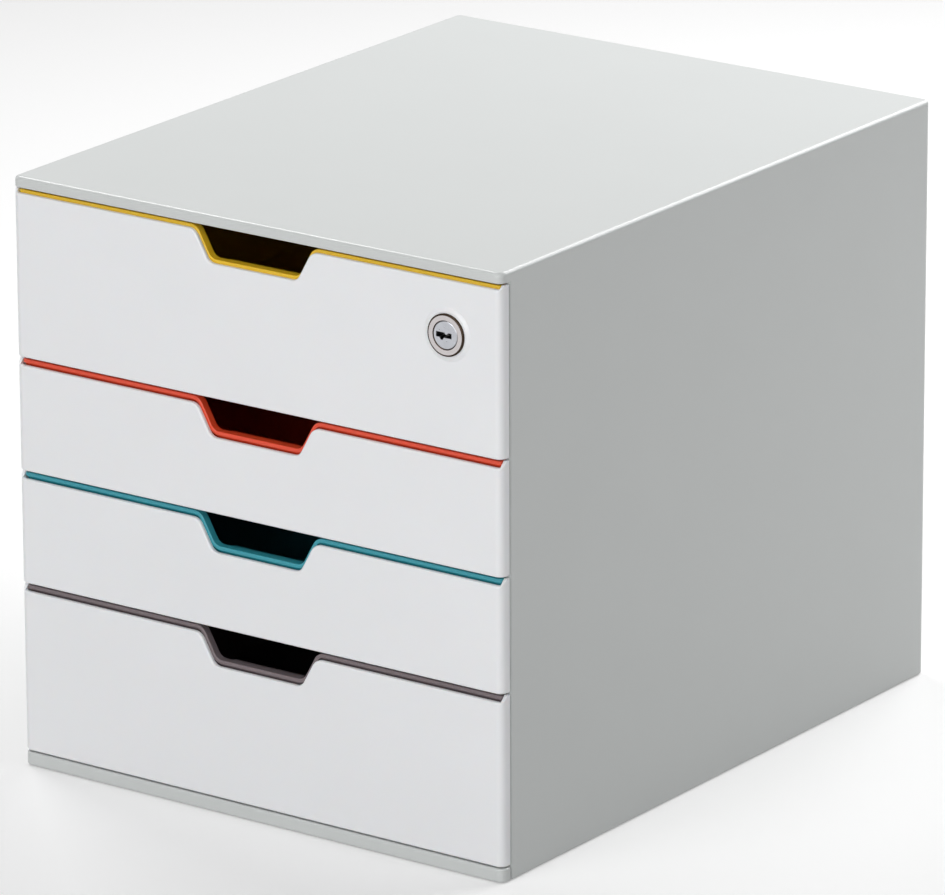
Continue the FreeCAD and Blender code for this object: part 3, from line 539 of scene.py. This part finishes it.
@dataclass
class RubberFoot:
    """One round rubber foot with two ring grooves in its tread."""

    name: str
    edge: float = mm(0.5)
    groove: float = mm(0.25)
    groove_width: float = mm(1.0)
    groove_places: tuple[float, float] = (0.42, 0.68)
    columns: int = 72
    steps: int = 97
    edge_steps: int = 9

    def build(self, palette: Palette) -> bpy.types.Object:
        """Builds the foot as a turned profile.

        The tread's depth is a groove deep within a cosine bump at each groove's place, and its
        outer edge is a quarter circle.

        Args:
            palette: the finishes.

        Returns:
            The finished foot.
        """
        low, high = (np.array(corner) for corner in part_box(self.name))
        radius, height = (high[0] - low[0]) / 2.0, high[2] - low[2]
        across = np.linspace(0.0, radius - self.edge, self.steps)
        tread = np.zeros_like(across)
        for share in self.groove_places:
            reach = np.clip(np.abs(across - share * radius) / self.groove_width, 0.0, 1.0)
            tread = np.maximum(tread, self.groove * (0.5 + 0.5 * np.cos(np.pi * reach)))
        turn = np.linspace(0.0, np.pi / 2.0, self.edge_steps)[1:]
        radii = np.concatenate([
            across, radius - self.edge + self.edge * np.sin(turn), [radius, 0.0]])
        depths = np.concatenate([
            tread, self.edge * (1.0 - np.cos(turn)), [height, height]])
        angles = np.linspace(0.0, 2.0 * np.pi, self.columns, endpoint=False)
        centre = tuple((low + high) / 2.0 * (1.0, 1.0, 0.0) + (0.0, 0.0, low[2]))
        axle = Axle(centre, (0.0, 0.0, 1.0), (1.0, 0.0, 0.0))
        radius_grid, angle_grid = np.meshgrid(radii, angles, indexing="ij")
        depth_grid = np.repeat(depths[:, None], self.columns, axis=1)
        piece = ring_mesh(self.name + "_tread", axle.place(radius_grid, depth_grid, angle_grid))
        piece.data.materials.append(palette.get(Finish.RUBBER))
        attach(piece, "housing")
        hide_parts(self.name)
        log.info("%s built", piece.name)
        return piece


@dataclass
class Drawer:
    """One drawer: white cover in front of a coloured tray."""

    number: int

    def dress(self, frame: dict, palette: Palette) -> None:
        """Gives the cover and the tray their finishes."""
        wear(frame, "drawer_%d_cover" % self.number, palette.get(Finish.COVER))
        wear(frame, "drawer_%d_tray" % self.number, palette.get(TRAY_FINISH[self.number]))


@dataclass
class CamLock:
    """Cam lock: a turned, threaded barrel with its nut, and the plug, wafers, cam and screw."""

    bore: float = mm(5.95)
    head_bore: float = mm(6.70)
    head_depth: float = mm(1.5)
    ring_chamfer: float = mm(0.3)
    flange_depth: float = mm(1.05)
    flange_roll: float = mm(0.55)
    rim_width: float = mm(0.85)
    groove_front: float = mm(5.05)
    groove_back: float = mm(17.25)
    groove_half: float = mm(2.65)
    groove_reach: float = mm(7.25)
    groove_flank: float = mm(0.05)
    groove_guard: float = 0.1
    shank_radius: float = mm(8.4)
    thread_start: float = mm(9.6)
    thread_pitch: float = mm(1.0)
    thread_depth: float = mm(0.45)
    end_chamfer: float = mm(0.5)
    nut_play: float = mm(0.05)
    nut_bore_chamfer: float = mm(0.4)
    nut_corner_slope: float = 0.58
    nut_corner_steps: tuple[float, ...] = (1.0, 0.66, 0.33, 0.0)
    columns: int = 120
    roll_steps: int = 7
    steps_per_pitch: int = 10

    def axle(self) -> Axle:
        """Finds the lock's axis, which starts at the flange's front and runs to the rear."""
        return Axle(front_centre("lock_barrel"), (0.0, 1.0, 0.0), (1.0, 0.0, 0.0))

    def groove_radius(self, angles: np.ndarray) -> np.ndarray:
        """Finds the bore's radius where the wafers' two grooves run.

        The grooves lie at a turn of zero and at a quarter turn. Each is a slot with straight
        sides: its radius is the nearer of its end, over the cosine of the angle from its
        middle, and its side, over the sine. A guard keeps both divisors off zero. Elsewhere
        the radius is the plain bore's.

        Args:
            angles: turns about the axis in radians.

        Returns:
            One radius for each angle.
        """
        radius = np.full_like(angles, self.bore)
        for middle in (0.0, np.pi / 2.0):
            along, aside = np.cos(angles - middle), np.abs(np.sin(angles - middle))
            slot = np.minimum(
                self.groove_reach / np.maximum(along, self.groove_guard),
                self.groove_half / np.maximum(aside, self.groove_guard))
            radius = np.maximum(radius, np.where(along > 0.0, slot, 0.0))
        return radius

    def build_barrel(self, palette: Palette) -> bpy.types.Object:
        """Builds the barrel as one turned surface with a helical thread and wafer grooves.

        The shank's radius drops by a triangle wave of depth and angle: the wave's phase is the
        depth in pitches less the angle in turns, so its crests run as a helix. It fades out
        over one pitch at both ends.

        Args:
            palette: the finishes.

        Returns:
            The finished barrel.
        """
        low, high = (np.array(corner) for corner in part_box("lock_barrel"))
        flange, length = (high[0] - low[0]) / 2.0, high[1] - low[1]
        turn = np.linspace(0.0, np.pi / 2.0, self.roll_steps)
        grooved = [
            (self.bore, self.groove_back - self.groove_flank),
            (self.bore, self.groove_front + self.groove_flank)]
        inner = [(self.bore, length), (self.bore, self.groove_back), *grooved]
        inner += [(self.bore, self.groove_front), (self.bore, self.head_depth)]
        ring = [
            (self.head_bore, self.head_depth), (self.head_bore, self.ring_chamfer),
            (self.head_bore + self.ring_chamfer, 0.0)]
        rim = [(flange - self.rim_width, 0.0)]
        roll = [
            (flange - self.flange_roll + self.flange_roll * math.sin(a),
             self.flange_roll * (1.0 - math.cos(a))) for a in turn]
        side = [(flange, self.flange_depth), (self.shank_radius, self.flange_depth)]
        thread_end = length - self.end_chamfer
        turns = (thread_end - self.thread_start) / self.thread_pitch
        depths = np.linspace(self.thread_start, thread_end, int(turns * self.steps_per_pitch))
        shank = [(self.shank_radius, depth) for depth in depths]
        end = [(self.shank_radius - self.end_chamfer, length)]
        profile = np.array(inner + ring + rim + roll + side + shank + end)
        angles = np.linspace(0.0, 2.0 * np.pi, self.columns, endpoint=False)
        radius, angle = np.meshgrid(profile[:, 0], angles, indexing="ij")
        radius[2:2 + len(grooved)] = self.groove_radius(angles)
        depth = np.repeat(profile[:, 1:], self.columns, axis=1)
        phase = np.mod(depth / self.thread_pitch - angle / (2.0 * np.pi), 1.0)
        wave = 1.0 - np.abs(2.0 * phase - 1.0)
        fade = np.clip(np.minimum(
            depth - self.thread_start, thread_end - depth) / self.thread_pitch, 0.0, 1.0)
        threaded = np.zeros(len(profile), dtype=bool)
        face = len(inner) + len(ring)
        first = face + len(rim) + len(roll) + len(side)
        threaded[first:first + len(shank)] = True
        radius = radius - np.where(threaded[:, None], self.thread_depth * wave * fade, 0.0)
        # Material 1 is painted shade on the head ring round the plug and on the flange's outer
        # rim, roll and side.
        shade_bands = np.zeros(len(profile), dtype=np.int32)
        shade_bands[len(inner):face - 1] = 1
        shade_bands[face:first - 1] = 1
        piece = ring_mesh("lock_barrel_turned", self.axle().place(radius, depth, angle), shade_bands)
        piece.data.materials.append(palette.get(Finish.CHROME))
        piece.data.materials.append(palette.get(Finish.RIM_PAINTED_SHADE))
        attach(piece, "drawer_1")
        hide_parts("lock_barrel")
        log.info("%s built", piece.name)
        return piece

    def build_nut(self, palette: Palette) -> bpy.types.Object:
        """Builds the nut as a hexagon whose corners are turned off.

        Its outline's radius is the across-flats half width over the cosine of the angle from
        the nearest flat's middle. At the two faces that radius is held to just over the flats.

        Args:
            palette: the finishes.

        Returns:
            The finished nut.
        """
        low, high = (np.array(corner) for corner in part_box("lock_nut"))
        corner, thickness = (high[0] - low[0]) / 2.0, high[1] - low[1]
        flats = corner * math.cos(math.pi / 6.0)
        angles = np.linspace(0.0, 2.0 * np.pi, self.columns, endpoint=False)
        off = np.mod(angles, np.pi / 3.0) - np.pi / 6.0
        hexagon = flats / np.cos(off)
        drop = (corner - flats) * self.nut_corner_slope
        rows: list[tuple[np.ndarray, float]] = []
        for share in self.nut_corner_steps:
            limit = corner - (corner - flats) * share
            rows.append((np.minimum(hexagon, limit), drop * (1.0 - share)))
        rows.extend((outline, thickness - depth) for outline, depth in rows[::-1])
        bore = np.full_like(angles, self.shank_radius + self.nut_play)
        chamfer = self.nut_bore_chamfer
        rows = [(bore, chamfer), (bore + chamfer, 0.0), *rows]
        rows += [(bore + chamfer, thickness), (bore, thickness - chamfer)]
        radius = np.stack([outline for outline, depth in rows])
        depths = np.array([depth for outline, depth in rows])
        depth = np.repeat(depths[:, None], self.columns, axis=1)
        angle = np.repeat(angles[None, :], len(rows), axis=0)
        barrel = self.axle()
        centre = (barrel.centre[0], low[1], barrel.centre[2])
        axle = Axle(centre, barrel.along, barrel.side)
        piece = ring_mesh("lock_nut_chamfered", axle.place(radius, depth, angle))
        piece.data.materials.append(palette.get(Finish.ZINC))
        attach(piece, "drawer_1")
        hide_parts("lock_nut")
        log.info("%s built", piece.name)
        return piece

    def dress(self, frame: dict, palette: Palette) -> None:
        """Builds the turned pieces and gives the other lock nodes their finishes.

        Args:
            palette: the finishes.
        """
        self.build_barrel(palette)
        self.build_nut(palette)
        wear(frame, "lock_plug", palette.get(Finish.PLUG))
        wear(frame, "lock_wafers", palette.get(Finish.WAFER))
        for name in ("lock_washer", "lock_cam", "lock_cam_screw"):
            wear(frame, name, palette.get(Finish.ZINC))


def pose_matrix(
    right: Triple | np.ndarray, up: Triple | np.ndarray, back: Triple | np.ndarray, place: Triple,
) -> Matrix:
    """Joins three axes and a place into one matrix.

    Args:
        right: direction of the object's own X axis.
        up: direction of its own Y axis.
        back: direction of its own Z axis, which a lamp or camera looks away from.
        place: where its origin stands.

    Returns:
        The matrix that puts the object there.
    """
    rows = np.eye(4)
    rows[:3, 0], rows[:3, 1], rows[:3, 2], rows[:3, 3] = right, up, back, place
    return Matrix(rows.tolist())


def seen_share(tree: bpy.types.NodeTree) -> bpy.types.NodeSocket:
    """Tells what the camera, a reflection or a clear piece sees from what only lights.

    Args:
        tree: the node tree that needs to know.

    Returns:
        A value of 1 for rays that see and 0 for rays that light.
    """
    path = add_node(tree, "ShaderNodeLightPath")
    seen = add_node(tree, "ShaderNodeMath", {"operation": "MAXIMUM"}, {
        0: path.outputs["Is Camera Ray"], 1: path.outputs["Is Glossy Ray"]})
    return add_node(tree, "ShaderNodeMath", {"operation": "MAXIMUM"}, {
        0: seen.outputs[0], 1: path.outputs["Is Transmission Ray"]}).outputs[0]


@dataclass(frozen=True)
class SoftLamp:
    """One large soft lamp: where it stands, the point it faces, its size and its watts."""

    name: str
    place: Triple
    target: Triple
    size: tuple[float, float]
    power: float

    def build(self) -> None:
        """Adds the lamp to the scene."""
        data = bpy.data.lights.new(self.name, "AREA")
        data.shape = "RECTANGLE"
        data.size, data.size_y = self.size
        data.energy = self.power
        lamp = bpy.data.objects.new(self.name, data)
        bpy.context.scene.collection.objects.link(lamp)
        back = np.array(self.place) - np.array(self.target)
        back = back / np.linalg.norm(back)
        side = np.cross((0.0, 0.0, 1.0), back)
        side = side / np.linalg.norm(side)
        lamp.matrix_world = pose_matrix(side, np.cross(back, side), back, self.place)


@dataclass
class Studio:
    """Pale floor, soft lamps and the camera of the reference view.

    The front, side and steep lamps light the fronts and the right side, the back lamp lights the
    top, and the edge lamp draws the bright line along the top's front edge.
    """

    floor_size: float = 24.0
    floor_colour: str = "DADADA"
    floor_glow: float = 0.3
    fill: float = 0.02
    lamps: tuple[SoftLamp, ...] = (
        SoftLamp("front_lamp", (0.3, -3.2, 0.7), (0.0, 0.0, 0.15), (2.4, 1.4), 44.5),
        SoftLamp("side_lamp", (2.1, -2.3, 1.6), (0.0, 0.0, 0.15), (2.2, 2.2), 16.0),
        SoftLamp("steep_lamp", (0.0, -1.6, 2.4), (0.0, -0.1, 0.15), (1.6, 1.0), 20.0),
        SoftLamp("back_lamp", (0.35, 1.15, 1.15), (0.05, 0.1, 0.25), (1.6, 0.9), 23.0),
        SoftLamp("edge_lamp", (-1.35, 0.55, 1.95), (0.0, -0.18, 0.29), (0.7, 0.5), 16.0))
    sensor: float = 36.0
    lens: float = 315.441
    clip: tuple[float, float] = (0.05, 60.0)
    place: Triple = (2.198694, -3.062289, 1.356094)
    right: Triple = (0.8126166, 0.5827841, -0.0041147)
    up: Triple = (-0.1760253, 0.2521625, 0.9515404)
    back: Triple = (0.5555802, -0.7725133, 0.3074961)

    def floor(self) -> None:
        """Lays the floor: white to the camera and to reflections, with the object's shadow."""
        half = self.floor_size / 2.0
        mesh = bpy.data.meshes.new("floor")
        mesh.from_pydata(
            [(-half, -half, 0.0), (half, -half, 0.0), (half, half, 0.0), (-half, half, 0.0)],
            [], [(0, 1, 2, 3)])
        floor = bpy.data.objects.new("floor", mesh)
        bpy.context.scene.collection.objects.link(floor)
        material, tree, output = new_material("floor_pale")
        matt = add_node(tree, "ShaderNodeBsdfDiffuse", {}, {"Color": linear(self.floor_colour)})
        lift = add_node(tree, "ShaderNodeMath", {"operation": "MULTIPLY"}, {
            0: seen_share(tree), 1: self.floor_glow})
        glow = add_node(tree, "ShaderNodeEmission", {}, {
            "Color": WHITE, "Strength": lift.outputs[0]})
        both = add_node(tree, "ShaderNodeAddShader", {}, {0: matt.outputs[0], 1: glow.outputs[0]})
        tree.links.new(both.outputs[0], output.inputs["Surface"])
        mesh.materials.append(material)

    def world(self) -> None:
        """Surrounds the scene with a white that the camera and reflections see at full."""
        world = bpy.data.worlds.new("studio")
        bpy.context.scene.world = world
        world.use_nodes = True
        tree = world.node_tree
        tree.nodes.clear()
        output = add_node(tree, "ShaderNodeOutputWorld")
        strength = add_node(tree, "ShaderNodeMapRange", {}, {
            "Value": seen_share(tree), "To Min": self.fill, "To Max": 1.0})
        glow = add_node(tree, "ShaderNodeBackground", {}, {
            "Color": WHITE, "Strength": strength.outputs["Result"]})
        tree.links.new(glow.outputs[0], output.inputs["Surface"])

    def camera(self) -> None:
        """Sets the camera at the reference view."""
        data = bpy.data.cameras.new("camera")
        data.sensor_width = self.sensor
        data.lens = self.lens
        data.clip_start, data.clip_end = self.clip
        camera = bpy.data.objects.new("camera", data)
        bpy.context.scene.collection.objects.link(camera)
        camera.matrix_world = pose_matrix(self.right, self.up, self.back, self.place)
        bpy.context.scene.camera = camera

    def build(self) -> None:
        """Builds the whole studio."""
        self.floor()
        self.world()
        for lamp in self.lamps:
            lamp.build()
        self.camera()
        bpy.context.scene.view_settings.view_transform = "Standard"
        log.info("studio built")


def main() -> None:
    """Builds the looks in order."""
    logging.basicConfig(level=logging.INFO, format="%(name)s: %(message)s")
    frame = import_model()
    palette = Palette()
    Housing().dress(frame, palette)
    for number in TRAY_FINISH:
        Drawer(number).dress(frame, palette)
    CamLock().dress(frame, palette)
    for name in ("foot_front_left", "foot_front_right", "foot_rear_left", "foot_rear_right"):
        RubberFoot(name).build(palette)
    Studio().build()


if __name__ == "__main__":
    main()
